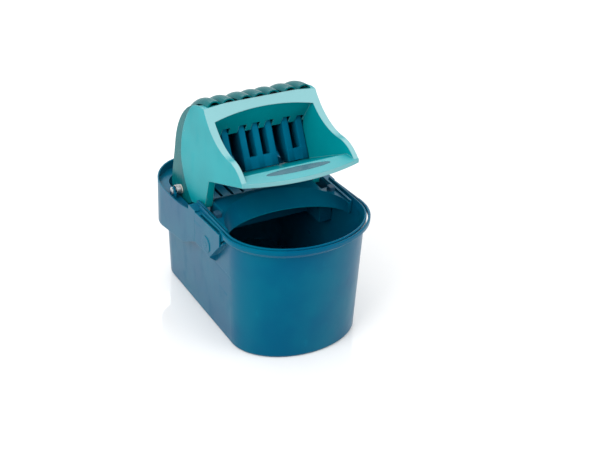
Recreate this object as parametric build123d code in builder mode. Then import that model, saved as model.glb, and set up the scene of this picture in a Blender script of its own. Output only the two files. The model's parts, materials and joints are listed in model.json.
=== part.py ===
"""Bucket with press wringer: a tub, a bail, and a press unit with a swinging comb.

Millimetres, +Z up, origin on the floor under the middle of the assembly.
The front of the tub is at -Y; the press tips about a cross axis near the rear.
"""
import math
import os

from build123d import *

os.makedirs("parts", exist_ok=True)

# ---------------------------------------------------------------- driving dimensions
FIT = 0.3                    # gap between mouldings that move past each other
SKIN = 2.5                   # wall of the press mouldings

# tub
OVERALL_HALF_LENGTH = 211.0
TUB_FRONT_CENTRE = -106.0    # centre of the elliptical front end
BASE_HALF_WIDTH = 116.7
BASE_FRONT = -191.0
BASE_REAR = 196.5
BASE_CORNER = 55.0
RIM_Z = 224.0                # top of the front rim
RIM_UNDER = 212.0            # where the wall starts to flare into the rim
WALL_HALF_WIDTH = 124.9      # outside of the wall just under the rim
RIM_HALF_WIDTH = 128.2       # outside of the rolled rim
RIM_ROUND = 1.8
REAR_RIM_Z = 186.0           # stepped-down rim under the press unit
RIM_STEP_Y = -2.0            # where the rim steps down
WALL = 2.5
FLOOR = 3.0
FOOT_ROUND = 5.0
FOOT_RING = 16.0             # width of the ring that the tub stands on
FOOT_RECESS = 0.8

# bail
BAIL_PIVOT_Y = -47.0
BAIL_PIVOT_Z = 175.0
BAIL_INNER = 130.7
BAIL_OUTER = 135.0
BAIL_LOW = 214.2
BAIL_HIGH = 223.4
BAIL_ROUND = 1.8
BAIL_HUB_RADIUS = 13.5
BAIL_ARM_OUTER = 134.2
BAIL_PIN_RADIUS = 5.0

# side pocket that hides the bail's hub
BOSS_RADIUS = 15.0
BOSS_RISE = 1.2              # the boss over the pin stands this proud of the pocket
POCKET_OUTER = 137.8
POCKET_FRONT = -106.0
POCKET_WALL = 2.8
POCKET_LOW = 140.0

# press hinge, comb hinge and link
PIVOT_Y = 108.0
PIVOT_Z = 200.0
COMB_Y = 63.0
COMB_Z = 345.0
LINK_DROP = 38.0             # each link pivot lies this far under its hinge
PIN_RADIUS = 3.95
ROD_RADIUS = 3.0
RUNNING = 0.05               # radial play of a pin in its bore

# press housing
ARC_Y = 21.0                 # centre of the round back
ARC_Z = 270.0
ARC_RADIUS = 118.5
HALF_AT_TOP = 106.5          # half width of the housing where it is highest
TOP_Z = 392.0
DRAFT = 0.036                # how much wider per mm lower
MOUTH_HALF = 101.0
THROAT_HALF = 93.2
LEG_INNER = 98.5             # the underside is open between the legs
MOUTH_TOP = 367.0            # corners of the mouth
MOUTH_ARCH = 10.0            # rise of its top edge in the middle
LIP_FRONT = -142.0           # middle of the lip
LIP_CORNER = -122.0
LIP_Z = 312.5
LIP_TOP = 320.0
DECK_REAR_Y = -99.0          # the flat deck behind the lip ends here
FLOOR_REAR_Y = 42.0
FLOOR_SLOPE = 0.527          # drop of the floor per mm from the deck to the comb

# comb
BLADE = 13.0
BLADE_X = (-85.5, -58.5, -26.0, 0.0, 26.0, 58.5, 85.5)
COMB_TOP_Y, COMB_TOP_Z = 49.0, 328.0
COMB_FOOT_Y, COMB_FOOT_Z = 14.0, 261.5
WEB_Z = 281.0
BLADE_WALL = 2.2
BACKBONE_RADIUS = 8.0
BACKBONE_HALF = 96.0
ROD_HALF = 104.0

# press carrier
SKIRT_OUTER = 137.8
SKIRT = 2.6
WELL_OUTER = 119.2
WELL_WALL = 2.2
WELL_FLOOR_Z = 151.7
PARTITION_Y = 22.5
DECK_Z = 217.0
SHELF = 2.6
ARM_INNER = 117.6
ARM_OUTER = 121.4
ARM_LOW_Z = 198.0
ARM_HEIGHT = 23.0
DRAIN_SLOTS = 7
DRAIN_PITCH = 22.0
DRAIN_LENGTH = 40.0
DRAIN_WIDTH = 6.0
DRAIN_Y = 150.0
LEG_SLOT_INNER = 97.2
LEG_SLOT_FRONT = -24.0
ARM_FRONT = -90.0

PEDESTAL_INNER = 127.0       # stands outside the return spring and holds the pivot pin
PEDESTAL_OUTER = 130.5
LUG_INNER = 92.0             # stands inside the link and holds the inner ends of the pins
LUG_OUTER = 97.0
LUG_LENGTH = 30.0
LUG_RADIUS = 10.0
PEDESTAL_LENGTH = 24.0
PEDESTAL_RADIUS = 7.5

# back shell
PANEL_INSET = 0.4            # the fluted panel stands this far inside the wings' faces
FLUTE_CENTRE = 114.5
FLUTE_RADIUS = 13.5
BUSH_RADIUS = 6.0
BUSH_INNER = 107.5
BUSH_FLANGE = 113.9
BUSH_OUTER = 115.4
HEAD_STEP = 2.5              # how far a bush's flange or a pin's head stands out
PIN_HEAD = 2.0

# return spring, between the bush's flange and the pedestal
SPRING_INNER = 117.2
SPRING_TURNS = 4
SPRING_PITCH = 2.1
SPRING_RADIUS = 8.2
SPRING_WIRE = 1.8

# rubber pads that the press lands on
STOP_Z = 224.6
STOP_INNER = 105.0
STOP_OUTER = 116.0
STOP_Y = -35.0
STOP_LENGTH = 14.0

# screws through the back shell's tabs into the cheeks
SCREW_SPOTS = ((103.0, 316.0), (101.0, 246.0))
SCREW_RADIUS = 1.5
SCREW_HEAD_RADIUS = 3.0
SCREW_HEAD = 2.0
SCREW_BITE = 2.2             # depth of the shank in the cheek
TAB = 2.8
TAB_RADIUS = 7.0

# inlay in the mouth's floor
INLAY_Y = -112.0
INLAY_HALF_LENGTH = 60.0
INLAY_HALF_WIDTH = 9.0
INLAY_DEPTH = 1.0

# link
UPPER_PIN_INNER = 82.0
LINK_INNER = 98.0
LINK_OUTER = 103.0
LINK_HALF = 6.0
LINK_EYE = 7.0
OPEN_EYE_PLAY = 0.4

SIDES = (("left", -1), ("right", 1))


# ---------------------------------------------------------------- helpers
def tub_face(half_width, front, rear, corner, level):
    """Outline of the tub at one level: elliptical front, straight sides, round rear corners."""
    with BuildSketch(Plane.XY.offset(level)) as face:
        with BuildLine():
            EllipticalCenterArc((0, TUB_FRONT_CENTRE), half_width, TUB_FRONT_CENTRE - front, 180,
                                arc_size=180)
            Line((half_width, TUB_FRONT_CENTRE), (half_width, rear - corner))
            CenterArc((half_width - corner, rear - corner), corner, 0, 90)
            Line((half_width - corner, rear), (corner - half_width, rear))
            CenterArc((corner - half_width, rear - corner), corner, 90, 90)
            Line((-half_width, rear - corner), (-half_width, TUB_FRONT_CENTRE))
        make_face()
    return face.sketch


def top_face(half_width, level):
    """Outline of the rim family: everything at rim height is an offset of one shape."""
    inset = BAIL_OUTER - half_width
    rear = OVERALL_HALF_LENGTH + (half_width - SKIRT_OUTER)
    return tub_face(half_width, inset - OVERALL_HALF_LENGTH, rear, 63.0 - inset, level)


def base_face(inset, level):
    """Outline of the tub's foot, moved in by the inset."""
    return tub_face(BASE_HALF_WIDTH - inset, BASE_FRONT + inset, BASE_REAR - inset,
                    BASE_CORNER - inset, level)


def half_width_at(z):
    """Half width of the drafted press housing at a height."""
    return HALF_AT_TOP + (TOP_Z - z) * DRAFT


def floor_z(y):
    """Height of the mouth's floor."""
    return LIP_TOP - max(0.0, y - DECK_REAR_Y) * FLOOR_SLOPE


def draft_block(inset, high=387.0, top_rise=6.0):
    """Front view of the housing, drafted and with an arched top, as a long solid."""
    low = 140.0
    with BuildPart() as block:
        with BuildSketch(Plane.XZ):
            with BuildLine():
                wide = half_width_at(low) - inset
                narrow = half_width_at(high) - inset
                Line((-narrow, high), (-wide, low))
                Line((-wide, low), (wide, low))
                Line((wide, low), (narrow, high))
                ThreePointArc((narrow, high), (0, high + top_rise), (-narrow, high))
            make_face()
        extrude(amount=260, both=True)
    return block.part


def side_prism(points_builder, low_x, high_x):
    """Solid between two X planes whose side view the given function draws."""
    with BuildPart() as prism:
        with BuildSketch(Plane.YZ.offset(low_x)):
            with BuildLine():
                points_builder()
            make_face()
        extrude(amount=high_x - low_x)
    return prism.part


def tab_face_x(z):
    """Distance from the middle to the inner face of a cheek at a height."""
    return half_width_at(z) - SKIN


def cross_cylinder(radius, low_x, high_x, y, z):
    """Cylinder along X between two X planes."""
    with BuildPart() as rod:
        with BuildSketch(Plane.YZ.offset(low_x)):
            with Locations((y, z)):
                Circle(radius)
        extrude(amount=high_x - low_x)
    return rod.part


def front_prism(points, low_y, high_y):
    """Solid between two Y planes with a polygon as its front view."""
    with BuildPart() as prism:
        with BuildSketch(Plane.XZ.offset(-high_y)):
            with BuildLine():
                Polyline(*points, close=True)
            make_face()
        extrude(amount=high_y - low_y)
    return prism.part


def span(side, near, far):
    """Ordered X limits of something between two distances from the middle."""
    return (near, far) if side > 0 else (-far, -near)


# ---------------------------------------------------------------- tub
def pocket_outline():
    """Side view of the bail pocket."""
    Polyline((RIM_STEP_Y, POCKET_LOW), (RIM_STEP_Y, 214), (POCKET_FRONT, 220), (POCKET_FRONT, 206),
             (-63, 160), (-52, POCKET_LOW), close=True)


def pocket_slot_outline():
    """Side view of the slot for the bail's hub and arm: open above and in front."""
    Polyline((RIM_STEP_Y - 14, 159), (RIM_STEP_Y - 14, 240), (-120, 240), (-120, 222),
             (POCKET_FRONT - 2, 210.5), (-64, 166), (-57, 159), close=True)


with BuildPart() as bucket_body:
    loft(sections=[base_face(0, 0), top_face(WALL_HALF_WIDTH, RIM_UNDER)], ruled=True)
    fillet(bucket_body.edges().group_by(Axis.Z)[0], FOOT_ROUND)
    loft(sections=[top_face(WALL_HALF_WIDTH, RIM_UNDER - 6), top_face(RIM_HALF_WIDTH, RIM_UNDER)],
         ruled=True)
    extrude(top_face(RIM_HALF_WIDTH, RIM_UNDER), amount=RIM_Z - RIM_UNDER)
    fillet(bucket_body.edges().group_by(Axis.Z)[-1], RIM_ROUND)
    for side in (-1, 1):
        low, high = span(side, 121.0, POCKET_OUTER)
        add(side_prism(pocket_outline, low, high))
        edge, wall = side * POCKET_OUTER, side * 121.9
        add(front_prism(((wall, 140), (edge, 156), (edge, 120), (wall, 120)), -180, 20),
            mode=Mode.SUBTRACT)
    loft(sections=[base_face(WALL, FLOOR), top_face(WALL_HALF_WIDTH - WALL, RIM_UNDER)], ruled=True,
         mode=Mode.SUBTRACT)
    loft(sections=[top_face(WALL_HALF_WIDTH - WALL, RIM_UNDER), top_face(RIM_HALF_WIDTH - 3, RIM_Z)],
         ruled=True, mode=Mode.SUBTRACT)
    with BuildSketch(Plane.XY.offset(REAR_RIM_Z)):
        with Locations((0, RIM_STEP_Y)):
            Rectangle(320, 240, align=(Align.CENTER, Align.MIN))
    extrude(amount=60, mode=Mode.SUBTRACT)
    for side in (-1, 1):
        low, high = span(side, BAIL_INNER - 0.9, POCKET_OUTER - POCKET_WALL)
        add(side_prism(pocket_slot_outline, low, high), mode=Mode.SUBTRACT)
        # the pocket's outer wall stops short, so that the arm comes out beside the rim
        with BuildSketch(Plane.XY.offset(RIM_UNDER - 40)):
            with Locations((side * BAIL_OUTER, POCKET_FRONT + 8)):
                Rectangle(20, 40, align=(Align.MIN if side > 0 else Align.MAX, Align.MAX))
        extrude(amount=60, mode=Mode.SUBTRACT)
        low, high = span(side, POCKET_OUTER - POCKET_WALL, POCKET_OUTER + BOSS_RISE)
        add(cross_cylinder(BOSS_RADIUS, low, high, BAIL_PIVOT_Y, BAIL_PIVOT_Z))
        low, high = span(side, 121.5, POCKET_OUTER + 2)
        add(cross_cylinder(BAIL_PIN_RADIUS, low, high, BAIL_PIVOT_Y, BAIL_PIVOT_Z), mode=Mode.SUBTRACT)
    with BuildSketch(Plane.XY):
        add(base_face(FOOT_RING, 0))
    extrude(amount=FOOT_RECESS, mode=Mode.SUBTRACT)
bucket_body.part.label = "bucket_body"
export_step(bucket_body.part, "parts/bucket_body.step")

# ---------------------------------------------------------------- bail
def bail_arm_outline():
    """Side view of one bail arm, from the hub to the band."""
    Polyline((BAIL_PIVOT_Y - 4, BAIL_PIVOT_Z - 12.5), (TUB_FRONT_CENTRE - 1, BAIL_LOW),
             (TUB_FRONT_CENTRE - 1, BAIL_HIGH), (TUB_FRONT_CENTRE + 12, BAIL_HIGH),
             (BAIL_PIVOT_Y + 7, BAIL_PIVOT_Z + 11.5), close=True)


with BuildPart() as bail_handle:
    extrude(top_face(BAIL_OUTER, BAIL_LOW), amount=BAIL_HIGH - BAIL_LOW)
    extrude(top_face(BAIL_INNER, BAIL_LOW), amount=BAIL_HIGH - BAIL_LOW, mode=Mode.SUBTRACT)
    with BuildSketch(Plane.XY.offset(BAIL_LOW - 1)):
        with Locations((0, TUB_FRONT_CENTRE)):
            Rectangle(300, 400, align=(Align.CENTER, Align.MIN))
    extrude(amount=40, mode=Mode.SUBTRACT)
    fillet(bail_handle.edges().filter_by(lambda e: e.length > 100), BAIL_ROUND)
    for side in (-1, 1):
        low, high = span(side, BAIL_INNER, BAIL_ARM_OUTER)
        add(side_prism(bail_arm_outline, low, high))
        add(cross_cylinder(BAIL_HUB_RADIUS, low, high, BAIL_PIVOT_Y, BAIL_PIVOT_Z))
        add(cross_cylinder(BAIL_PIN_RADIUS + RUNNING, low - 1, high + 1, BAIL_PIVOT_Y, BAIL_PIVOT_Z),
            mode=Mode.SUBTRACT)
bail_handle.part.label = "bail_handle"
export_step(bail_handle.part, "parts/bail_handle.step")

for name, side in SIDES:
    with BuildPart() as bail_pin:
        low, high = span(side, 122.0, POCKET_OUTER + 1.4)
        add(cross_cylinder(BAIL_PIN_RADIUS, low, high, BAIL_PIVOT_Y, BAIL_PIVOT_Z))
        chamfer(bail_pin.edges().filter_by(GeomType.CIRCLE), 0.4)
    bail_pin.part.label = f"bail_pin_{name}"
    export_step(bail_pin.part, f"parts/{bail_pin.part.label}.step")


# ---------------------------------------------------------------- press carrier
def skirt_outline():
    """Side view of the carrier's outer skirt: dished top edge, lower edge rising to the front."""
    front = RIM_STEP_Y + FIT
    back = OVERALL_HALF_LENGTH + 5
    ThreePointArc((front, 216), (90, 195), (back, 208))
    Line((back, 208), (back, 110))
    Line((back, 110), (143, 113))
    Line((143, 113), (50, 128))
    Line((50, 128), (front, 156))
    Line((front, 156), (front, 216))


def well_area(inset, level):
    """Plan of the well: the rear of the tub, less the middle in front of the partition."""
    with BuildSketch(Plane.XY.offset(level)) as area:
        add(top_face(WELL_OUTER - inset, 0))
        with Locations((0, LEG_SLOT_FRONT - WELL_WALL + inset)):
            Rectangle(320, 400, align=(Align.CENTER, Align.MAX), mode=Mode.SUBTRACT)
        with Locations((0, PARTITION_Y - WELL_WALL + inset)):
            Rectangle(2 * (LEG_SLOT_INNER - WELL_WALL + inset), 200, align=(Align.CENTER, Align.MAX),
                      mode=Mode.SUBTRACT)
    return area.sketch


def opening_ellipse(half_width, depth, level):
    """Half-ellipse plan of the tub's open front, flat side forward."""
    with BuildSketch(Plane.XY.offset(level)) as area:
        with BuildLine():
            EllipticalCenterArc((0, ARM_FRONT), half_width, depth, 0, arc_size=180)
            Line((-half_width, ARM_FRONT), (half_width, ARM_FRONT))
        make_face()
    return area.sketch


with BuildPart() as press_carrier:
    extrude(top_face(SKIRT_OUTER, 100), amount=130)
    extrude(top_face(SKIRT_OUTER - SKIRT, 100), amount=130, mode=Mode.SUBTRACT)
    add(side_prism(skirt_outline, -150, 150), mode=Mode.INTERSECT)
    # shelf over the stepped-down rim
    with BuildSketch(Plane.XY.offset(REAR_RIM_Z)):
        add(top_face(SKIRT_OUTER - SKIRT, 0))
        add(top_face(WELL_OUTER - WELL_WALL, 0), mode=Mode.SUBTRACT)
        with Locations((0, RIM_STEP_Y + FIT)):
            Rectangle(320, 400, align=(Align.CENTER, Align.MAX), mode=Mode.SUBTRACT)
    extrude(amount=SHELF)
    # front collar blocks, from the skirt to the well
    for side in (-1, 1):
        with BuildSketch(Plane.XY.offset(REAR_RIM_Z)):
            with Locations((side * (WELL_OUTER + SKIRT_OUTER - 1) / 2, RIM_STEP_Y + FIT)):
                Rectangle(SKIRT_OUTER - WELL_OUTER + 1, 26, align=(Align.CENTER, Align.MIN))
        extrude(amount=30)
    # well
    extrude(well_area(0, WELL_FLOOR_Z - WELL_WALL), amount=REAR_RIM_Z + SHELF - WELL_FLOOR_Z + WELL_WALL)
    with BuildSketch(Plane.XY.offset(REAR_RIM_Z)):
        add(well_area(0, 0))
        with Locations((0, PARTITION_Y + 8)):
            Rectangle(320, 400, align=(Align.CENTER, Align.MIN), mode=Mode.SUBTRACT)
    extrude(amount=DECK_Z - REAR_RIM_Z)
    extrude(well_area(WELL_WALL, WELL_FLOOR_Z), amount=120, mode=Mode.SUBTRACT)
    # arms along the inside of the rim
    for side in (-1, 1):
        low, high = span(side, ARM_INNER, ARM_OUTER)
        with BuildSketch(Plane.XY.offset(ARM_LOW_Z)):
            with Locations(((low + high) / 2, ARM_FRONT)):
                Rectangle(high - low, PARTITION_Y - ARM_FRONT, align=(Align.CENTER, Align.MIN))
        extrude(amount=ARM_HEIGHT)
        # lug that holds the inner ends of the pins
        low, high = span(side, LUG_INNER, LUG_OUTER)
        with BuildSketch(Plane.YZ.offset(low)):
            with Locations((PIVOT_Y, WELL_FLOOR_Z - 1)):
                Rectangle(LUG_LENGTH, PIVOT_Z - WELL_FLOOR_Z, align=(Align.CENTER, Align.MIN))
            with Locations((PIVOT_Y, PIVOT_Z)):
                Circle(LUG_RADIUS)
        extrude(amount=high - low)
        # pedestal that holds the outer end of the pivot pin
        low, high = span(side, PEDESTAL_INNER, PEDESTAL_OUTER)
        with BuildSketch(Plane.YZ.offset(low)):
            with Locations((PIVOT_Y, REAR_RIM_Z)):
                Rectangle(PEDESTAL_LENGTH, PIVOT_Z - REAR_RIM_Z, align=(Align.CENTER, Align.MIN))
            with Locations((PIVOT_Y, PIVOT_Z)):
                Circle(PEDESTAL_RADIUS)
        extrude(amount=high - low)
        add(cross_cylinder(PIN_RADIUS, -135, 135, PIVOT_Y, PIVOT_Z), mode=Mode.SUBTRACT)
        add(cross_cylinder(ROD_RADIUS, -98, 98, PIVOT_Y, PIVOT_Z - LINK_DROP), mode=Mode.SUBTRACT)
    # drain slots in the floor of the well
    with BuildSketch(Plane.XY.offset(WELL_FLOOR_Z - 5)):
        with GridLocations(DRAIN_PITCH, 0, DRAIN_SLOTS, 1):
            with Locations((0, DRAIN_Y)):
                SlotOverall(DRAIN_LENGTH, DRAIN_WIDTH, rotation=90)
    extrude(amount=10, mode=Mode.SUBTRACT)
press_carrier.part.label = "press_carrier"
export_step(press_carrier.part, "parts/press_carrier.step")

# ---------------------------------------------------------------- splash apron
with BuildPart() as splash_apron:
    with BuildSketch(Plane.XY.offset(DECK_Z - SKIN)):
        with Locations((0, ARM_FRONT)):
            Rectangle(2 * 117.4, PARTITION_Y - WELL_WALL - ARM_FRONT - 0.1, align=(Align.CENTER, Align.MIN))
        for side in (-1, 1):
            with Locations((side * 117.4, LEG_SLOT_FRONT - WELL_WALL - 0.1)):
                Rectangle(2 * (117.4 - LEG_SLOT_INNER + WELL_WALL + 0.1), 120,
                          align=(Align.CENTER, Align.MIN), mode=Mode.SUBTRACT)
    extrude(amount=SKIN)
    loft(sections=[opening_ellipse(117.3, 62, 196), opening_ellipse(117.4, 106, DECK_Z)], ruled=True)
    loft(sections=[opening_ellipse(115.0, 59.5, 195.9), opening_ellipse(115.0, 103.5, DECK_Z + 0.1)],
         ruled=True, mode=Mode.SUBTRACT)
splash_apron.part.label = "splash_apron"
export_step(splash_apron.part, "parts/splash_apron.step")


# ---------------------------------------------------------------- press housing
def housing_outline():
    """Side view of the housing: S-shaped mouth edge, lip, underside, leg and round cheek."""
    top_y = 31.0
    top_z = 391.0
    ThreePointArc((top_y, top_z), (-14, 351), (-73, 338.5))
    ThreePointArc((-73, 338.5), (-102, 332.5), (-119, 321))
    Polyline((-119, 321), (-121, LIP_TOP), (LIP_FRONT - 2, LIP_TOP), (LIP_FRONT - 2, LIP_Z),
             (LIP_CORNER, LIP_Z), (-1, 267), (11, 209.8), (36, 205), (62, 196))
    ThreePointArc((62, 196), (99, 231), (113, 262))
    ThreePointArc((113, 262), (106, 325), (72, 377))
    ThreePointArc((72, 377), (52, 384.4), (top_y, 388))
    Line((top_y, 388), (top_y, top_z))


def cavity_outline():
    """Side view of the space between the cheeks, one skin inside the front edges."""
    ThreePointArc((33.5, 389), (-13, 347.8), (-73, 335.5))
    ThreePointArc((-73, 335.5), (-98, 331), (-116, 318))
    Polyline((-116, 318), (-119, 314), (1.3, 269), (14, 207), (14, 140), (170, 140), (170, 380),
             (33.5, 389))


def floor_outline():
    """Side view of the mouth's floor."""
    Polyline((LIP_CORNER, LIP_TOP), (DECK_REAR_Y, LIP_TOP), (FLOOR_REAR_Y, floor_z(FLOOR_REAR_Y)),
             (FLOOR_REAR_Y, floor_z(FLOOR_REAR_Y) - SKIN), (DECK_REAR_Y - 1.5, LIP_TOP - SKIN),
             (LIP_CORNER + 5, LIP_TOP - SKIN), (LIP_CORNER, LIP_Z), close=True)


def underside_cut_outline():
    """Side view of what is cut from the underside between the legs, so that the floor is one skin."""
    Polyline((-110, 290), (-110, LIP_TOP - SKIN - 1), (2, 272), (2, 250), close=True)


def funnel_side_outline():
    """Side view of the funnel's side walls."""
    Polyline((LIP_CORNER, LIP_Z), (FLOOR_REAR_Y, floor_z(FLOOR_REAR_Y) - SKIN), (68, 262), (62, 286),
             (43, 298), (43, 326), (18, 388), (-20, 388), (LIP_CORNER, 345), close=True)


def arch_strip(y, z, half, rise):
    """Cross-section of the arched upper wall, square to its slope."""
    slope = Plane(origin=(0, y, z), x_dir=(1, 0, 0), z_dir=(0, -36, 55))
    with BuildSketch(slope) as strip:
        with BuildLine():
            ThreePointArc((-half, 0), (0, rise), (half, 0))
            Line((half, 0), (half, SKIN))
            ThreePointArc((half, SKIN), (0, rise + SKIN), (-half, SKIN))
            Line((-half, SKIN), (-half, 0))
        make_face()
    return strip.sketch


with BuildPart() as cheek_gap:
    add(side_prism(cavity_outline, -125, 125))
    add(draft_block(SKIN, 387.0 - SKIN), mode=Mode.INTERSECT)

with BuildPart() as mouth_gap:
    # the opening has an arched top and narrows towards the throat
    with BuildSketch(Plane.XZ.offset(-60)):
        with BuildLine():
            Line((-MOUTH_HALF, LIP_TOP), (MOUTH_HALF, LIP_TOP))
            Line((MOUTH_HALF, LIP_TOP), (MOUTH_HALF, MOUTH_TOP))
            ThreePointArc((MOUTH_HALF, MOUTH_TOP), (0, MOUTH_TOP + MOUTH_ARCH), (-MOUTH_HALF, MOUTH_TOP))
            Line((-MOUTH_HALF, MOUTH_TOP), (-MOUTH_HALF, LIP_TOP))
        make_face()
    extrude(amount=200)
    with BuildSketch(Plane.XY.offset(LIP_TOP)):
        with BuildLine():
            Polyline((-MOUTH_HALF, -145), (MOUTH_HALF, -145), (MOUTH_HALF, -130), (THROAT_HALF, 25),
                     (THROAT_HALF, 60), (-THROAT_HALF, 60), (-THROAT_HALF, 25), (-MOUTH_HALF, -130),
                     close=True)
        make_face()
    extrude(amount=100, mode=Mode.INTERSECT)

with BuildPart() as funnel_walls:
    for side in (-1, 1):
        with BuildSketch(Plane.XY.offset(230)):
            with BuildLine():
                Polyline((side * MOUTH_HALF, -130), (side * THROAT_HALF, 25), (side * THROAT_HALF, 70),
                         (side * (THROAT_HALF + 2), 70), (side * (THROAT_HALF + 2), 25.5),
                         (side * (MOUTH_HALF + SKIN), -130), close=True)
            make_face()
        extrude(amount=180)
    add(side_prism(funnel_side_outline, -125, 125), mode=Mode.INTERSECT)
    add(side_prism(housing_outline, -125, 125), mode=Mode.INTERSECT)

with BuildPart() as upper_wall:
    loft(sections=[arch_strip(10, 377.5, 103, 10), arch_strip(48, 319.5, 95, 2)], ruled=True)
    add(side_prism(housing_outline, -125, 125), mode=Mode.INTERSECT)

with BuildPart() as press_housing:
    add(side_prism(housing_outline, -125, 125))
    add(cheek_gap.part, mode=Mode.SUBTRACT)
    add(mouth_gap.part, mode=Mode.SUBTRACT)
    # open bottom between the legs
    with BuildSketch(Plane.XY.offset(150)):
        with Locations((0, -30)):
            Rectangle(2 * LEG_INNER, 120, align=(Align.CENTER, Align.MIN))
    extrude(amount=109, mode=Mode.SUBTRACT)
    add(side_prism(underside_cut_outline, -LEG_INNER, LEG_INNER), mode=Mode.SUBTRACT)
    # walls of the mouth
    add(side_prism(floor_outline, -108, 108))
    add(upper_wall.part)
    add(funnel_walls.part)
    # plan curve of the lip, and the drafted sides
    with BuildSketch(Plane.XY.offset(150)):
        with BuildLine():
            ThreePointArc((-116, LIP_CORNER + 2), (0, LIP_FRONT), (116, LIP_CORNER + 2))
            Polyline((116, LIP_CORNER + 2), (125, 200), (-125, 200), (-116, LIP_CORNER + 2))
        make_face()
    extrude(amount=300, mode=Mode.INTERSECT)
    add(draft_block(0), mode=Mode.INTERSECT)
    # notches that the blades pass through
    with BuildSketch(Plane.XY.offset(290)):
        for x in BLADE_X:
            with Locations((x, 56)):
                Rectangle(BLADE + 1.6, 34)
    extrude(amount=47, mode=Mode.SUBTRACT)
    # blind bosses for the comb's rod
    for side in (-1, 1):
        low, high = span(side, 99.5, 106.5)
        add(cross_cylinder(7, low, high, COMB_Y, COMB_Z))
        low, high = span(side, BACKBONE_HALF, ROD_HALF)
        add(cross_cylinder(ROD_RADIUS, low, high, COMB_Y, COMB_Z), mode=Mode.SUBTRACT)
    # shallow seat for the inlay
    with BuildSketch(Plane.XY.offset(LIP_TOP)):
        with Locations((0, INLAY_Y)):
            Ellipse(INLAY_HALF_LENGTH, INLAY_HALF_WIDTH)
    extrude(amount=-INLAY_DEPTH, mode=Mode.SUBTRACT)
    # blind holes for the back shell's screws
    for side in (-1, 1):
        for y, z in SCREW_SPOTS:
            low, high = span(side, tab_face_x(z) - 1, tab_face_x(z) + SCREW_BITE)
            add(cross_cylinder(SCREW_RADIUS, low, high, y, z), mode=Mode.SUBTRACT)
press_housing.part.label = "press_housing"
export_step(press_housing.part, "parts/press_housing.step")

with BuildPart() as lip_inlay:
    with BuildSketch(Plane.XY.offset(LIP_TOP)):
        with Locations((0, INLAY_Y)):
            Ellipse(INLAY_HALF_LENGTH, INLAY_HALF_WIDTH)
    extrude(amount=-INLAY_DEPTH)
    fillet(lip_inlay.edges().group_by(Axis.Z)[-1], 0.3)
lip_inlay.part.label = "lip_inlay"
export_step(lip_inlay.part, "parts/lip_inlay.step")


# ---------------------------------------------------------------- back shell
def wing_outline():
    """Side view of a back wing: between the cheek's round edge and the outer outline."""
    ThreePointArc((62, 196), (99, 231), (113, 262))
    ThreePointArc((113, 262), (106, 325), (72, 377))
    ThreePointArc((72, 377), (119.5, 335), (139, 278))
    Line((139, 278), (149, 205))
    ThreePointArc((149, 205), (139, 174), (108, 160))
    Line((108, 160), (62, 196))


def flute_section():
    """Radial section of the fluted panel, from the axis of its round back."""
    section_plane = Plane(origin=(0, ARC_Y, ARC_Z), x_dir=(1, 0, 0), z_dir=(0, -1, 0))
    with BuildSketch(section_plane) as section:
        with Locations((0, ARC_RADIUS - 9)):
            Rectangle(240, 18)
        with Locations(*[(x, FLUTE_CENTRE) for x in BLADE_X]):
            Circle(FLUTE_RADIUS)
        with Locations((0, ARC_RADIUS - SKIN - 15)):
            Rectangle(242, 30, mode=Mode.SUBTRACT)
        with Locations(*[(x, FLUTE_CENTRE) for x in BLADE_X]):
            Circle(FLUTE_RADIUS - SKIN, mode=Mode.SUBTRACT)
    return section.sketch


def seat_outline():
    """Side view of what the panel leaves free for the rear edge of the housing's roof."""
    Line((20, 300), (20, 388.4))
    Line((20, 388.4), (31, 388.4))
    ThreePointArc((31, 388.4), (52, 384.8), (72.5, 377.3))
    Line((72.5, 377.3), (72.5, 300))
    Line((72.5, 300), (20, 300))


def tab_outline():
    """Side view of the band that carries the screws, from the cheek into the wing."""
    (high_y, high_z), (low_y, low_z) = SCREW_SPOTS
    Line((high_y + 16, high_z + TAB_RADIUS), (high_y, high_z + TAB_RADIUS))
    ThreePointArc((high_y, high_z + TAB_RADIUS), (high_y - TAB_RADIUS, high_z),
                  (high_y, high_z - TAB_RADIUS))
    Line((high_y, high_z - TAB_RADIUS), (low_y + 16, high_z - TAB_RADIUS))
    Line((low_y + 16, high_z - TAB_RADIUS), (low_y + 16, low_z + TAB_RADIUS))
    Line((low_y + 16, low_z + TAB_RADIUS), (low_y, low_z + TAB_RADIUS))
    ThreePointArc((low_y, low_z + TAB_RADIUS), (low_y - TAB_RADIUS, low_z), (low_y, low_z - TAB_RADIUS))
    Line((low_y, low_z - TAB_RADIUS), (low_y + 24, low_z - TAB_RADIUS))
    Line((low_y + 24, low_z - TAB_RADIUS), (high_y + 16, high_z + TAB_RADIUS))


with BuildPart() as wings:
    add(side_prism(wing_outline, -125, 125))
    add(draft_block(0), mode=Mode.INTERSECT)
    add(draft_block(SKIN, 420.0), mode=Mode.SUBTRACT)
    for side in (-1, 1):
        low, high = span(side, 108.5, 113.2)
        add(cross_cylinder(10, low, high, PIVOT_Y, PIVOT_Z))
    add(cross_cylinder(BUSH_RADIUS, -125, 125, PIVOT_Y, PIVOT_Z), mode=Mode.SUBTRACT)

with BuildPart() as tabs:
    add(side_prism(tab_outline, -125, 125))
    add(draft_block(SKIN, 420.0), mode=Mode.INTERSECT)
    add(draft_block(SKIN + TAB, 420.0), mode=Mode.SUBTRACT)

with BuildPart() as screw_set:
    for side in (-1, 1):
        for y, z in SCREW_SPOTS:
            face_x = tab_face_x(z)
            low, high = span(side, face_x - TAB - 1, face_x + SCREW_BITE)
            add(cross_cylinder(SCREW_RADIUS, low, high, y, z))
            low, high = span(side, face_x - TAB - SCREW_HEAD + 0.2, face_x - TAB + 0.2)
            add(cross_cylinder(SCREW_HEAD_RADIUS, low, high, y, z))

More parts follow.
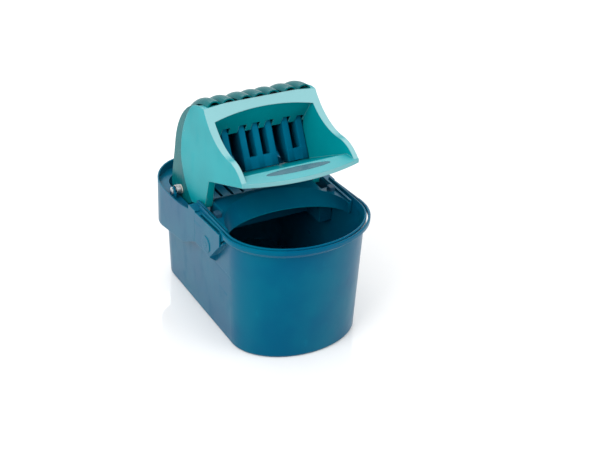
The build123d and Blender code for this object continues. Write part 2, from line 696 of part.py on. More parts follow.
with BuildPart() as back_shell:
    revolve(flute_section(), axis=Axis((0, ARC_Y, ARC_Z), (-1, 0, 0)), revolution_arc=110)
    add(draft_block(PANEL_INSET, 420.0), mode=Mode.INTERSECT)
    with BuildSketch(Plane.XY.offset(300)):
        with Locations((0, 31)):
            Rectangle(300, 100, align=(Align.CENTER, Align.MAX))
    extrude(amount=120, mode=Mode.SUBTRACT)
    add(side_prism(seat_outline, -125, 125), mode=Mode.SUBTRACT)
    add(wings.part)
    add(tabs.part)
    add(press_housing.part, mode=Mode.SUBTRACT)
    add(screw_set.part, mode=Mode.SUBTRACT)
back_shell.part.label = "back_shell"
export_step(back_shell.part, "parts/back_shell.step")

with BuildPart() as back_shell_screws:
    add(screw_set.part)
    for side in (-1, 1):
        for y, z in SCREW_SPOTS:
            with BuildSketch(Plane.YZ.offset(side * (tab_face_x(z) - TAB - SCREW_HEAD + 0.2))):
                with Locations((y, z)):
                    RegularPolygon(1.4, 6)
            extrude(amount=side * 1.2, mode=Mode.SUBTRACT)
back_shell_screws.part.label = "back_shell_screws"
export_step(back_shell_screws.part, "parts/back_shell_screws.step")

# ---------------------------------------------------------------- comb
def blade_outline():
    """Side view of one blade: leaning front edge, foot over the floor, deep back."""
    Polyline((COMB_TOP_Y, COMB_TOP_Z), (COMB_FOOT_Y, COMB_FOOT_Z), (40, 251), (76, 274), (90, 300),
             (84, 340), (COMB_Y + 11, COMB_Z + 12), (COMB_Y - 5, COMB_Z + 12), close=True)


def blade_core_outline():
    """Side view of the hollow behind a blade's front edge."""
    Polyline((COMB_TOP_Y + 6, COMB_TOP_Z + 1), (COMB_FOOT_Y + 7.5, COMB_FOOT_Z + 3), (42, 254), (120, 200),
             (120, 400), (COMB_Y + 9.5, COMB_Z + 8), close=True)


def web_outline():
    """Side view of the web that joins the blades of one segment at the foot."""
    lean = (COMB_TOP_Y - COMB_FOOT_Y) / (COMB_TOP_Z - COMB_FOOT_Z)
    web_y = COMB_FOOT_Y + (WEB_Z - COMB_FOOT_Z) * lean
    Polyline((COMB_FOOT_Y, COMB_FOOT_Z), (web_y, WEB_Z), (web_y + 5, WEB_Z), (COMB_FOOT_Y + 7, COMB_FOOT_Z - 2),
             close=True)


SEGMENTS = (("comb_left", BLADE_X[:2]), ("comb_centre", BLADE_X[2:5]), ("comb_right", BLADE_X[5:]))
for name, blades in SEGMENTS:
    with BuildPart() as segment:
        for x in blades:
            add(side_prism(blade_outline, x - BLADE / 2, x + BLADE / 2))
            core = BLADE / 2 - BLADE_WALL
            add(side_prism(blade_core_outline, x - core, x + core), mode=Mode.SUBTRACT)
        add(side_prism(web_outline, blades[0] - BLADE / 2, blades[-1] + BLADE / 2))
        add(cross_cylinder(BACKBONE_RADIUS, -110, 110, COMB_Y, COMB_Z), mode=Mode.SUBTRACT)
        for side in (-1, 1):
            low, high = span(side, UPPER_PIN_INNER, 120)
            add(cross_cylinder(ROD_RADIUS, low, high, COMB_Y, COMB_Z - LINK_DROP), mode=Mode.SUBTRACT)
    segment.part.label = name
    export_step(segment.part, f"parts/{name}.step")

with BuildPart() as comb_backbone:
    add(cross_cylinder(BACKBONE_RADIUS, -BACKBONE_HALF, BACKBONE_HALF, COMB_Y, COMB_Z))
    add(cross_cylinder(ROD_RADIUS + RUNNING, -ROD_HALF, ROD_HALF, COMB_Y, COMB_Z), mode=Mode.SUBTRACT)
comb_backbone.part.label = "comb_backbone"
export_step(comb_backbone.part, "parts/comb_backbone.step")

with BuildPart() as comb_hinge_rod:
    add(cross_cylinder(ROD_RADIUS, -ROD_HALF, ROD_HALF, COMB_Y, COMB_Z))
comb_hinge_rod.part.label = "comb_hinge_rod"
export_step(comb_hinge_rod.part, "parts/comb_hinge_rod.step")


# ---------------------------------------------------------------- links and pins
def link_outline():
    """Side view of a drive link without its eyes, parallel to the line between the two hinges."""
    length = math.hypot(COMB_Y - PIVOT_Y, COMB_Z - PIVOT_Z)
    across_y = (COMB_Z - PIVOT_Z) / length * LINK_HALF
    across_z = (PIVOT_Y - COMB_Y) / length * LINK_HALF
    low_z, high_z = PIVOT_Z - LINK_DROP, COMB_Z - LINK_DROP
    Polyline((PIVOT_Y + across_y, low_z + across_z), (COMB_Y + across_y, high_z + across_z),
             (COMB_Y - across_y, high_z - across_z), (PIVOT_Y - across_y, low_z - across_z), close=True)


for name, side in SIDES:
    with BuildPart() as drive_link:
        low, high = span(side, LINK_INNER, LINK_OUTER)
        add(side_prism(link_outline, low, high))
        add(cross_cylinder(LINK_EYE, low, high, PIVOT_Y, PIVOT_Z - LINK_DROP))
        add(cross_cylinder(LINK_EYE, low, high, COMB_Y, COMB_Z - LINK_DROP))
        add(cross_cylinder(ROD_RADIUS + RUNNING, low - 1, high + 1, PIVOT_Y, PIVOT_Z - LINK_DROP),
            mode=Mode.SUBTRACT)
        add(cross_cylinder(ROD_RADIUS + OPEN_EYE_PLAY, low - 1, high + 1, COMB_Y, COMB_Z - LINK_DROP),
            mode=Mode.SUBTRACT)
    drive_link.part.label = f"drive_link_{name}"
    export_step(drive_link.part, f"parts/{drive_link.part.label}.step")

    with BuildPart() as lower_pin:
        low, high = span(side, LUG_INNER, LINK_OUTER + 1.2)
        add(cross_cylinder(ROD_RADIUS, low, high, PIVOT_Y, PIVOT_Z - LINK_DROP))
    lower_pin.part.label = f"lower_link_pin_{name}"
    export_step(lower_pin.part, f"parts/{lower_pin.part.label}.step")

    with BuildPart() as upper_pin:
        low, high = span(side, UPPER_PIN_INNER, LINK_OUTER + 1.0)
        add(cross_cylinder(ROD_RADIUS, low, high, COMB_Y, COMB_Z - LINK_DROP))
    upper_pin.part.label = f"upper_link_pin_{name}"
    export_step(upper_pin.part, f"parts/{upper_pin.part.label}.step")

    with BuildPart() as pivot_pin:
        low, high = span(side, LUG_INNER, PEDESTAL_OUTER)
        add(cross_cylinder(PIN_RADIUS, low, high, PIVOT_Y, PIVOT_Z))
        low, high = span(side, PEDESTAL_OUTER, PEDESTAL_OUTER + PIN_HEAD)
        add(cross_cylinder(PIN_RADIUS + HEAD_STEP, low, high, PIVOT_Y, PIVOT_Z))
    pivot_pin.part.label = f"pivot_pin_{name}"
    export_step(pivot_pin.part, f"parts/{pivot_pin.part.label}.step")

    with BuildPart() as pivot_bush:
        low, high = span(side, BUSH_INNER, BUSH_FLANGE)
        add(cross_cylinder(BUSH_RADIUS, low, high, PIVOT_Y, PIVOT_Z))
        low, high = span(side, BUSH_FLANGE, BUSH_OUTER)
        add(cross_cylinder(BUSH_RADIUS + HEAD_STEP, low, high, PIVOT_Y, PIVOT_Z))
        add(cross_cylinder(PIN_RADIUS + RUNNING, -120, 120, PIVOT_Y, PIVOT_Z), mode=Mode.SUBTRACT)
    pivot_bush.part.label = f"pivot_bush_{name}"
    export_step(pivot_bush.part, f"parts/{pivot_bush.part.label}.step")


# ---------------------------------------------------------------- return springs
for name, side in SIDES:
    with BuildPart() as return_spring:
        low, high = span(side, SPRING_INNER, SPRING_INNER + SPRING_TURNS * SPRING_PITCH)
        with BuildLine() as coil:
            Helix(SPRING_PITCH, high - low, SPRING_RADIUS, center=(low, PIVOT_Y, PIVOT_Z),
                  direction=(1, 0, 0), lefthand=side < 0)
        with BuildSketch(Plane(origin=coil.line @ 0, z_dir=coil.line % 0)):
            Circle(SPRING_WIRE / 2)
        sweep(path=coil.line, is_frenet=True)
    return_spring.part.label = f"return_spring_{name}"
    export_step(return_spring.part, f"parts/{return_spring.part.label}.step")

# ---------------------------------------------------------------- stop pads
for name, side in SIDES:
    with BuildPart() as stop_pad:
        with BuildSketch(Plane.XY.offset(DECK_Z)):
            with Locations((side * (STOP_INNER + STOP_OUTER) / 2, STOP_Y)):
                RectangleRounded(STOP_OUTER - STOP_INNER, STOP_LENGTH, 3)
        extrude(amount=STOP_Z - DECK_Z)
        fillet(stop_pad.edges().group_by(Axis.Z)[-1], 1)
    stop_pad.part.label = f"stop_pad_{name}"
    export_step(stop_pad.part, f"parts/{stop_pad.part.label}.step")
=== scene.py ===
# %% [markdown]
# # A bucket with a tipping press
# The CAD model holds every size and every joint. This lesson gives it the surface of the real
# thing: moulded plastic with soft edges, drawn steel pins and a studio to look at it in.
# The model arrives as a fixed frame, so each piece goes where the frame says.

# %% Load the frame
import json
import math

import bmesh
import bpy
from mathutils import Matrix, Vector


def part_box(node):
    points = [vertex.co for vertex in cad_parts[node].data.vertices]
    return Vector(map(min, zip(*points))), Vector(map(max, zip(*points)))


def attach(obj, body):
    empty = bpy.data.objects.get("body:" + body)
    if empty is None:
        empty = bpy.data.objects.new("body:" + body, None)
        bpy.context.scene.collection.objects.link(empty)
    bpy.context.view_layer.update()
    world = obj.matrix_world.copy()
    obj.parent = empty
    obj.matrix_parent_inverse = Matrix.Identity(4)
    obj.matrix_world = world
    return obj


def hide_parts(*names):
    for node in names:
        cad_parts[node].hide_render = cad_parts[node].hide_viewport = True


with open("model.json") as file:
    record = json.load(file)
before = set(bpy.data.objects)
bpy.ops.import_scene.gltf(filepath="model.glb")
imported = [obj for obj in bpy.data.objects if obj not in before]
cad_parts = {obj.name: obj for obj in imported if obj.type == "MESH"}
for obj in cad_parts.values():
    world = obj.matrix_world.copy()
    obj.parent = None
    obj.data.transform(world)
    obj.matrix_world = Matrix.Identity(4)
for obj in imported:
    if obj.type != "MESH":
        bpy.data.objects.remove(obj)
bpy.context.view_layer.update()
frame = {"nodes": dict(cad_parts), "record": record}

MM = 0.001

# %% [markdown]
# ## Shader maths as plain expressions
# A finish is mostly arithmetic on patterns. Wiring each Math node by hand hides the formula, so a
# small class wraps a socket and turns `0.2 + 0.1 * cloud` into the nodes it needs. Every other
# node comes from one method that takes its type, its settings and its socket values.

# %% Sockets that can be added and multiplied
class Wire:
    """An output socket that takes part in Python arithmetic."""

    def __init__(self, maker, socket):
        self.maker = maker
        self.socket = socket

    def maths(self, operation, *values):
        return self.maker.node("ShaderNodeMath", {"operation": operation}, dict(enumerate(values)))

    def __add__(self, other):
        return self.maths("ADD", self, other)

    def __radd__(self, other):
        return self.maths("ADD", other, self)

    def __sub__(self, other):
        return self.maths("SUBTRACT", self, other)

    def __rsub__(self, other):
        return self.maths("SUBTRACT", other, self)

    def __mul__(self, other):
        return self.maths("MULTIPLY", self, other)

    def __rmul__(self, other):
        return self.maths("MULTIPLY", other, self)

    def between(self, low, high):
        """0 below low, 1 above high, smooth in between."""
        return self.maker.node("ShaderNodeMapRange", {"interpolation_type": "SMOOTHSTEP"},
                               {"Value": self, "From Min": low, "From Max": high})


class Maker:
    """Adds nodes to one node tree."""

    def __init__(self, tree):
        self.tree = tree

    def node(self, kind, settings=None, sockets=None, output=0):
        made = self.tree.nodes.new(kind)
        for name, value in (settings or {}).items():
            setattr(made, name, value)
        for name, value in (sockets or {}).items():
            if isinstance(value, Wire):
                self.tree.links.new(value.socket, made.inputs[name])
            else:
                made.inputs[name].default_value = value
        return None if output is None else Wire(self, made.outputs[output])

    def blend(self, amount, first, second):
        """Colour between two colours."""
        return self.node("ShaderNodeMix", {"data_type": "RGBA"}, {0: amount, 6: first, 7: second}, 2)


print("shader maths ready")

# %% [markdown]
# ## Moulded plastic
# Injection-moulded polypropylene is never one flat colour. The melt leaves faint clouds, the
# polished tool leaves a fine orange-peel and handling leaves smudges that change the gloss. Each of
# these is one term in the formula below. Edges get a painted highlight: a Bevel node compares the
# real normal with a rounded one, which finds the edges, and they are painted paler. A second painted
# highlight paints the open faces that look forwards and up in the pale colour, whatever the light is.

# %% Plastic finish
def rgba(red, green, blue):
    """Linear colour from the 0-255 values that a screen shows."""
    channels = []
    for value in (red, green, blue):
        share = value / 255
        channels.append(share / 12.92 if share <= 0.04045 else ((share + 0.055) / 1.055) ** 2.4)
    return (*channels, 1.0)


# faces that point this way get the painted front highlight; faces in shade within the reach below get none
FRONT_AND_UP = (0.0, -0.75, 0.66)    # the way that the open edge of the mouth faces
EDGE_ROUND = 1.6 * MM                # radius that the shader gives to every edge
OPEN_REACH = 60 * MM                 # a face is open when nothing stands within this distance
PLASTIC_IOR = 1.3                    # below polypropylene's 1.5, which keeps the colours deep


def new_finish(name):
    material = bpy.data.materials.new(name)
    material.use_nodes = True
    material.node_tree.nodes.clear()
    return material, Maker(material.node_tree)


def close_finish(material, maker, sockets):
    """Principled shader with its values, joined to the material's output."""
    shader = maker.node("ShaderNodeBsdfPrincipled", None, sockets)
    maker.node("ShaderNodeOutputMaterial", None, {"Surface": shader}, None)
    return material


def pattern(maker, place, scale, detail=3.0, stretch=(1, 1, 1)):
    """Noise on Object coordinates; the scale is features per metre."""
    spread = maker.node("ShaderNodeMapping", None, {"Vector": place, "Scale": stretch})
    return maker.node("ShaderNodeTexNoise", None, {"Vector": spread, "Scale": scale, "Detail": detail})


def plastic(name, colour, deep, pale, gloss=0.26, edge=0.5, grain=0.05, painted_front_highlight=0.0):
    """Moulded plastic; edge sets how strong the painted highlight on the edges is, and the last argument
    sets the painted highlight on the open front faces.
    """
    material, maker = new_finish(name)
    place = maker.node("ShaderNodeTexCoord", output="Object")
    cloud = pattern(maker, place, 11.0)
    smudge = pattern(maker, place, 42.0, 6.0, (1, 1, 0.45)).between(0.48, 0.72)
    scuff = pattern(maker, place, 75.0, 8.0, (1, 0.12, 0.5)).between(0.66, 0.74)
    peel = pattern(maker, place, 950.0, 2.0)
    rounded = maker.node("ShaderNodeBevel", {"samples": 4}, {"Radius": EDGE_ROUND})
    flat = maker.node("ShaderNodeNewGeometry", output="Normal")
    along = maker.node("ShaderNodeVectorMath", {"operation": "DOT_PRODUCT"}, {0: rounded, 1: flat}, "Value")
    # painted highlight: every edge that the Bevel node finds is painted paler
    painted_edge_highlight = (1 - along).between(0.01, 0.22)
    tone = maker.blend(cloud.between(0.3, 0.7), deep, colour)
    # paleness is painted highlight on the edges plus real scuffs
    highlight_and_scuff = painted_edge_highlight * edge + scuff * 0.10
    # painted highlight on the open faces that look forwards and up; the AO mask keeps it off faces in shade
    if painted_front_highlight:
        facing = maker.node("ShaderNodeTexCoord", output="Normal")
        front = maker.node("ShaderNodeVectorMath", {"operation": "DOT_PRODUCT"},
                           {0: facing, 1: FRONT_AND_UP}, "Value")
        open_air = maker.node("ShaderNodeAmbientOcclusion", {"samples": 8}, {"Distance": OPEN_REACH}, "AO")
        highlight_and_scuff = highlight_and_scuff + painted_front_highlight * front.between(0.60, 0.80) * open_air.between(0.62, 0.86)
    # the tone is blended towards the pale colour by the painted highlights and by the scuffs
    highlighted_and_scuffed_tone = maker.blend(highlight_and_scuff.maths("MINIMUM", highlight_and_scuff, 1.0), tone, pale)
    bump = maker.node("ShaderNodeBump", None, {"Height": peel * grain + cloud * 0.5, "Strength": 0.2,
                                               "Distance": 0.3 * MM, "Normal": rounded})
    return close_finish(material, maker, {
        "Base Color": highlighted_and_scuffed_tone, "Roughness": gloss + 0.08 * smudge + 0.14 * scuff + 0.05 * cloud,
        "Normal": bump, "IOR": PLASTIC_IOR, "Specular Tint": pale})


print("plastic finish ready")

# %% [markdown]
# ## The finishes of this bucket
# The tub, the carrier and the bail share one petrol blue. The press housing is a lighter turquoise
# with strong painted highlights on its edges and open front faces, the back shell is a darker teal and the
# comb a plain blue.

# %% Plastics, one for each moulding colour
# the third colour of each plastic is the pale colour of its painted highlights and its scuffs; the
# turquoise carries the strongest painted highlight
petrol = plastic("petrol_plastic", rgba(0, 92, 118), rgba(0, 80, 112), rgba(0, 130, 152), edge=0.8)
turquoise = plastic("turquoise_plastic", rgba(0, 148, 156), rgba(0, 138, 146), rgba(136, 182, 186),
                    gloss=0.30, edge=0.9, painted_front_highlight=0.9)
teal = plastic("teal_plastic", rgba(0, 102, 106), rgba(0, 90, 96), rgba(0, 130, 134), gloss=0.24)
comb_blue = plastic("comb_plastic", rgba(0, 108, 138), rgba(0, 98, 128), rgba(20, 150, 178), gloss=0.34)
inlay_blue = plastic("inlay_plastic", rgba(0, 84, 100), rgba(0, 74, 92), rgba(0, 130, 140), gloss=0.22)
bearing = plastic("bearing_plastic", rgba(226, 226, 218), rgba(212, 212, 202), rgba(245, 245, 240),
                  gloss=0.42, grain=0.12)
print("plastics:", [finish.name for finish in (petrol, turquoise, teal, comb_blue, inlay_blue, bearing)])

# %% [markdown]
# ## Steel and elastomer
# A pin is drawn through a die, so its scratches run along its length, which is X here. Squeezing
# the noise along X stretches the marks. The landing pads are a soft blue elastomer, dull and pebbled.

# %% Drawn steel and pebbled elastomer
def drawn_steel(name):
    material, maker = new_finish(name)
    place = maker.node("ShaderNodeTexCoord", output="Object")
    streak = pattern(maker, place, 1400.0, 4.0, (0.03, 1, 1))
    stain = pattern(maker, place, 160.0)
    colour = maker.blend(stain.between(0.35, 0.75), rgba(208, 210, 212), rgba(168, 170, 172))
    bump = maker.node("ShaderNodeBump", None, {"Height": streak, "Strength": 0.3, "Distance": 0.05 * MM})
    return close_finish(material, maker, {
        "Base Color": colour, "Metallic": 1.0, "Roughness": 0.20 + 0.16 * streak + 0.10 * stain,
        "Normal": bump})


def pebbled_elastomer(name):
    material, maker = new_finish(name)
    place = maker.node("ShaderNodeTexCoord", output="Object")
    pebble = pattern(maker, place, 1600.0, 2.0)
    dust = pattern(maker, place, 120.0, 5.0).between(0.45, 0.75)
    colour = maker.blend(dust * 0.5, rgba(0, 62, 88), rgba(30, 92, 116))
    bump = maker.node("ShaderNodeBump", None, {"Height": pebble, "Strength": 0.6, "Distance": 0.15 * MM})
    return close_finish(material, maker, {
        "Base Color": colour, "Roughness": 0.62 + 0.2 * dust, "Normal": bump})


steel = drawn_steel("drawn_steel")
elastomer = pebbled_elastomer("pad_elastomer")
print("metal and elastomer:", steel.name, elastomer.name)

# %% [markdown]
# ## Dressing the CAD solids
# Where a CAD solid already has the true shape, it keeps its mesh and only takes a finish. A helper
# gives each node its finish, and a table read from the record gives each node's body, so no name is typed
# twice.

# %% Dress a CAD node
bodies = {node: body for body, nodes in frame["record"]["behaviour"]["bodies"].items() for node in nodes}


def dress(finish, *nodes):
    for node in nodes:
        materials = frame["nodes"][node].data.materials
        materials.clear()
        materials.append(finish)
    print(f"{finish.name} on {', '.join(nodes)}")


def plain_mesh(piece):
    """The evaluated piece as a mesh of its own."""
    shown = piece.evaluated_get(bpy.context.evaluated_depsgraph_get())
    return bpy.data.meshes.new_from_object(shown)


def finish_piece(piece, node, *others):
    """Ride on the node's body and stand for the node."""
    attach(piece, bodies[node])
    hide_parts(node, *others)
    return piece


dress(petrol, "bucket_body", "bail_handle", "press_carrier", "splash_apron", "bail_pin_left",
      "bail_pin_right")
dress(turquoise, "press_housing")
dress(teal, "back_shell")
dress(comb_blue, "drive_link_left", "drive_link_right", "comb_backbone")
dress(inlay_blue, "lip_inlay")
dress(bearing, "pivot_bush_left", "pivot_bush_right")
dress(elastomer, "stop_pad_left", "stop_pad_right")
dress(steel, "comb_hinge_rod", "pivot_pin_left", "pivot_pin_right", "lower_link_pin_left",
      "lower_link_pin_right", "upper_link_pin_left", "upper_link_pin_right", "back_shell_screws")

# %% [markdown]
# ## Geometry Nodes by name
# A node tree is quick to build when a helper adds a node, fills its sockets and joins its links in
# one line. Inputs are named on the tree, and a modifier's value is set through the socket's
# identifier, because names may repeat and identifiers may not.

# %% Helpers for node trees
class Tree:
    """A Geometry Nodes tree under construction."""

    def __init__(self, name, **inputs):
        self.group = bpy.data.node_groups.new(name, "GeometryNodeTree")
        self.group.interface.new_socket("Geometry", in_out="OUTPUT", socket_type="NodeSocketGeometry")
        for label, kind in inputs.items():
            self.group.interface.new_socket(label, in_out="INPUT", socket_type=kind)
        self.entry = self.group.nodes.new("NodeGroupInput")
        self.exit = self.group.nodes.new("NodeGroupOutput")

    def add(self, kind, settings=None, output=0, **sockets):
        made = self.group.nodes.new(kind)
        for name, value in (settings or {}).items():
            setattr(made, name, value)
        for name, value in sockets.items():
            target = made.inputs[name.replace("_", " ")]
            if isinstance(value, bpy.types.NodeSocket):
                self.group.links.new(value, target)
            else:
                target.default_value = value
        return made.outputs[output]

    def given(self, label):
        return self.entry.outputs[label]

    def close(self, geometry):
        """Every tree ends as real geometry with its finish set."""
        real = self.add("GeometryNodeRealizeInstances", Geometry=geometry)
        smooth = self.add("GeometryNodeSetShadeSmooth", Geometry=real)
        painted = self.add("GeometryNodeSetMaterial", Geometry=smooth, Material=self.given("Finish"))
        self.group.links.new(painted, self.exit.inputs["Geometry"])
        return self.group


def grow(name, group, node, values, *others):
    """A piece whose mesh comes from a tree; it stands for CAD nodes of one body."""
    piece = bpy.data.objects.new(name, bpy.data.meshes.new(name))
    bpy.context.collection.objects.link(piece)
    maker = piece.modifiers.new(name, "NODES")
    maker.node_group = group
    for item in group.interface.items_tree:
        if item.in_out == "INPUT" and item.name in values:
            maker[item.identifier] = values[item.name]
    grown = plain_mesh(piece)
    piece.modifiers.clear()
    piece.data = grown
    finish_piece(piece, node, *others)
    print(f"{name}: {len(grown.polygons)} faces")
    return piece


# %% [markdown]
# ## Return springs
# Each spring is one wire wound round the pivot pin, and the two are wound in opposite hands. The
# Spiral node draws its centre line along Z, so the tree turns it onto X before a round profile
# follows it.

# %% Wind the springs
WIRE_RADIUS = 0.9 * MM
COIL_TURNS = 4.0

spring_tree = Tree("wound_spring", Turns="NodeSocketFloat", Radius="NodeSocketFloat",
                   Length="NodeSocketFloat", Wire="NodeSocketFloat", Place="NodeSocketVector",
                   Reverse="NodeSocketBool", Finish="NodeSocketMaterial")
centre_line = spring_tree.add("GeometryNodeCurveSpiral", Resolution=48,
                              Rotations=spring_tree.given("Turns"),
                              Start_Radius=spring_tree.given("Radius"),
                              End_Radius=spring_tree.given("Radius"),
                              Height=spring_tree.given("Length"), Reverse=spring_tree.given("Reverse"))
on_axis = spring_tree.add("GeometryNodeTransform", Geometry=centre_line, Rotation=(0, math.pi / 2, 0),
                          Translation=spring_tree.given("Place"))
wire = spring_tree.add("GeometryNodeCurvePrimitiveCircle", Resolution=14, Radius=spring_tree.given("Wire"))
wound = spring_tree.add("GeometryNodeCurveToMesh", Curve=on_axis, Profile_Curve=wire, Fill_Caps=True)
spring_group = spring_tree.close(wound)

for side in ("left", "right"):
    low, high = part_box(f"return_spring_{side}")
    middle = (low + high) / 2
    length = high.x - low.x - 2 * WIRE_RADIUS
    grow(f"wound_spring_{side}", spring_group, f"return_spring_{side}", {
        "Turns": COIL_TURNS, "Radius": (high.y - low.y) / 2 - WIRE_RADIUS, "Length": length,
        "Wire": WIRE_RADIUS, "Place": (low.x + WIRE_RADIUS, middle.y, middle.z),
        "Reverse": side == "left", "Finish": steel})

# %% [markdown]
# ## The comb
# Seven blades stand in three groups on one backbone. They are all the same moulding: a hollow
# channel with a round nose, open behind. One blade is built from listed points, and the tree repeats it
# along
# X for each group, so a change to the blade changes all seven.

# %% One blade
BLADE_WIDTH = 13.0 * MM
BLADE_WALL = 2.2 * MM
NOSE_RADIUS = 2.6 * MM
NOSE_STEPS = 5
# nose and back of the blade, from the backbone down to the foot, as (y, z) in mm
BLADE_STATIONS = (((58, 357), (74, 357)), ((49, 328), (84, 340)), ((37.4, 306), (89.6, 302)),
                  ((25, 282.4), (77.5, 276)), ((14, 261.5), (40.5, 251.2)))


def blade_section(nose, back):
    """U-shaped section: back of one side, round the nose, back of the other side."""
    nose_point, back_point = Vector((0, *nose)) * MM, Vector((0, *back)) * MM
    inward = (back_point - nose_point).normalized()
    half = BLADE_WIDTH / 2
    points = [back_point + Vector((-half, 0, 0))]
    for side in (-1, 1):
        turns = range(NOSE_STEPS + 1)
        for step in turns if side < 0 else reversed(turns):
            angle = math.pi / 2 * step / NOSE_STEPS
            across = half - NOSE_RADIUS * (1 - math.cos(angle))
            depth = NOSE_RADIUS * (1 - math.sin(angle))
            points.append(nose_point + inward * depth + Vector((side * across, 0, 0)))
    points.append(back_point + Vector((half, 0, 0)))
    return points


def blade_mesh():
    work = bmesh.new()
    rows = [[work.verts.new(point) for point in blade_section(*station)] for station in BLADE_STATIONS]
    for upper, lower in zip(rows, rows[1:]):
        for corner in range(len(upper) - 1):
            work.faces.new((upper[corner], upper[corner + 1], lower[corner + 1], lower[corner]))
    for end in (rows[0], rows[-1]):
        work.faces.new(end)
    bmesh.ops.recalc_face_normals(work, faces=work.faces)
    mesh = bpy.data.meshes.new("blade")
    work.to_mesh(mesh)
    work.free()
    return mesh


blade = bpy.data.objects.new("blade_pattern", blade_mesh())
bpy.context.collection.objects.link(blade)
wall = blade.modifiers.new("wall", "SOLIDIFY")
wall.thickness = BLADE_WALL
wall.offset = -1
wall.use_even_offset = True
print("blade pattern:", len(blade.data.polygons), "faces before its wall")

# %% Repeat the blade in each group
blade_tree = Tree("blade_row", Blade="NodeSocketObject", Count="NodeSocketInt", Start="NodeSocketVector",
                  Step="NodeSocketVector", Finish="NodeSocketMaterial")
points = blade_tree.add("GeometryNodeMeshLine", Count=blade_tree.given("Count"),
                        Start_Location=blade_tree.given("Start"), Offset=blade_tree.given("Step"))
pattern_blade = blade_tree.add("GeometryNodeObjectInfo", output=4, Object=blade_tree.given("Blade"))
row = blade_tree.add("GeometryNodeInstanceOnPoints", Points=points, Instance=pattern_blade)
blade_group = blade_tree.close(row)


# front face of the web that joins the blades, and how far the web goes back
WEB_FOOT = Vector((0, 14.6, 261.8)) * MM
WEB_TOP = Vector((0, 24.4, 281.0)) * MM
WEB_DEPTH = Vector((0, 4.6, -1.2)) * MM
WEB_ROUND = 0.9 * MM
WEB_INSET = 0.4 * MM


def web_mesh(low_x, high_x):
    """Slab that joins the blades at the foot, with rounded edges."""
    work = bmesh.new()
    corners = []
    for x in (low_x, high_x):
        for point in (WEB_FOOT, WEB_TOP, WEB_TOP + WEB_DEPTH, WEB_FOOT + WEB_DEPTH):
            corners.append(work.verts.new(point + Vector((x, 0, 0))))
    for face in ((0, 1, 2, 3), (7, 6, 5, 4), (0, 4, 5, 1), (1, 5, 6, 2), (2, 6, 7, 3), (3, 7, 4, 0)):
        work.faces.new([corners[corner] for corner in face])
    bmesh.ops.recalc_face_normals(work, faces=work.faces)
    bmesh.ops.bevel(work, geom=list(work.edges), offset=WEB_ROUND, segments=3, affect="EDGES",
                    profile=0.5)
    mesh = bpy.data.meshes.new("web")
    work.to_mesh(mesh)
    work.free()
    mesh.shade_smooth()
    return mesh


def join_into(piece, mesh):
    """Add a second mesh to a piece."""
    work = bmesh.new()
    work.from_mesh(piece.data)
    work.from_mesh(mesh)
    for face in work.faces:
        face.material_index = 0
    work.to_mesh(piece.data)
    work.free()


for group, count in (("comb_left", 2), ("comb_centre", 3), ("comb_right", 2)):
    low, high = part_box(group)
    step = (high.x - low.x - BLADE_WIDTH) / (count - 1)
    comb = grow(f"{group}_blades", blade_group, group, {
        "Blade": blade, "Count": count, "Start": (low.x + BLADE_WIDTH / 2, 0, 0), "Step": (step, 0, 0),
        "Finish": comb_blue})
    join_into(comb, web_mesh(low.x + WEB_INSET, high.x - WEB_INSET))
    comb.data.materials.clear()
    comb.data.materials.append(comb_blue)
bpy.data.objects.remove(blade)

# %% [markdown]
# ## The studio
# A white table, one large soft light from the left, a weaker one from the right and a strip behind
# give the long smooth highlights that show a moulding's curves.

# %% Table
FLOOR_HALF = 6.0
floor_mesh = bpy.data.meshes.new("table_top")
floor_mesh.from_pydata([(-FLOOR_HALF, -FLOOR_HALF, 0), (FLOOR_HALF, -FLOOR_HALF, 0),
                        (FLOOR_HALF, FLOOR_HALF, 0), (-FLOOR_HALF, FLOOR_HALF, 0)], [], [(0, 1, 2, 3)])
table = bpy.data.objects.new("table_top", floor_mesh)
bpy.context.collection.objects.link(table)
white, floor_maker = new_finish("white_table")
floor_place = floor_maker.node("ShaderNodeTexCoord", output="Object")
haze = pattern(floor_maker, floor_place, 3.0)
floor_tone = floor_maker.blend(haze, (0.90, 0.90, 0.90, 1), (0.94, 0.94, 0.94, 1))
close_finish(white, floor_maker, {"Base Color": floor_tone, "Roughness": 0.05 + 0.04 * haze, "IOR": 1.7})
floor_mesh.materials.append(white)
print("table of", 2 * FLOOR_HALF, "m")

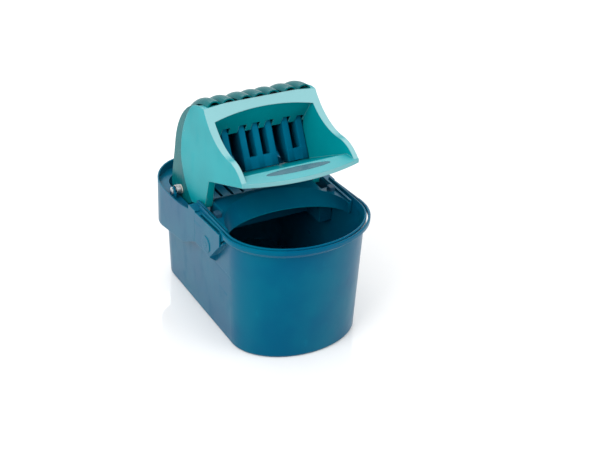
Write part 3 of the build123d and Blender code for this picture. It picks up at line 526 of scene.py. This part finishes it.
# %% Lights and sky
def soft_light(name, place, aim, size, power):
    data = bpy.data.lights.new(name, "AREA")
    data.shape = "RECTANGLE"
    data.size, data.size_y = size
    data.energy = power
    light = bpy.data.objects.new(name, data)
    bpy.context.collection.objects.link(light)
    light.location = place
    light.rotation_euler = (Vector(aim) - Vector(place)).to_track_quat("-Z", "Y").to_euler()
    return light


AIM = (0.0335, -0.0652, 0.1798)
SKY_STRENGTH = 0.95
soft_light("key", (-1.6, -0.7, 1.7), AIM, (1.4, 1.4), 30)
soft_light("fill", (1.3, -1.5, 1.4), AIM, (1.4, 1.4), 14)
soft_light("back strip", (0.3, 1.7, 1.5), AIM, (1.8, 0.6), 12)
sky = bpy.data.worlds.new("white_room")
bpy.context.scene.world = sky
sky.use_nodes = True
background = sky.node_tree.nodes["Background"]
background.inputs["Color"].default_value = (1, 1, 1, 1)
background.inputs["Strength"].default_value = SKY_STRENGTH
bpy.context.scene.view_settings.view_transform = "Standard"
print("lights set")

# %% [markdown]
# ## The camera
# The view is from the front left, a little above: azimuth and elevation place the camera on a
# sphere round its aim, and a small roll tilts it as if it were held by hand.

# %% Camera
AZIMUTH = math.radians(29.8)
ELEVATION = math.radians(30.1)
ROLL = math.radians(2.3)
DISTANCE = 2.2577
LENS = 78.0
SENSOR_WIDTH = 36.0

forward = Vector((math.sin(AZIMUTH) * math.cos(ELEVATION), math.cos(AZIMUTH) * math.cos(ELEVATION),
                  -math.sin(ELEVATION)))
level_right = forward.cross(Vector((0, 0, 1))).normalized()
level_up = level_right.cross(forward)
right = math.cos(ROLL) * level_right + math.sin(ROLL) * level_up
up = right.cross(forward)
camera_data = bpy.data.cameras.new("camera")
camera_data.lens = LENS
camera_data.sensor_width = SENSOR_WIDTH
camera = bpy.data.objects.new("camera", camera_data)
bpy.context.collection.objects.link(camera)
turn = Matrix((right, up, -forward)).transposed()
camera.matrix_world = Matrix.Translation(Vector(AIM) - DISTANCE * forward) @ turn.to_4x4()
bpy.context.scene.camera = camera
print("camera at", [round(value, 3) for value in camera.location])

# %% Update the scene
bpy.context.view_layer.update()
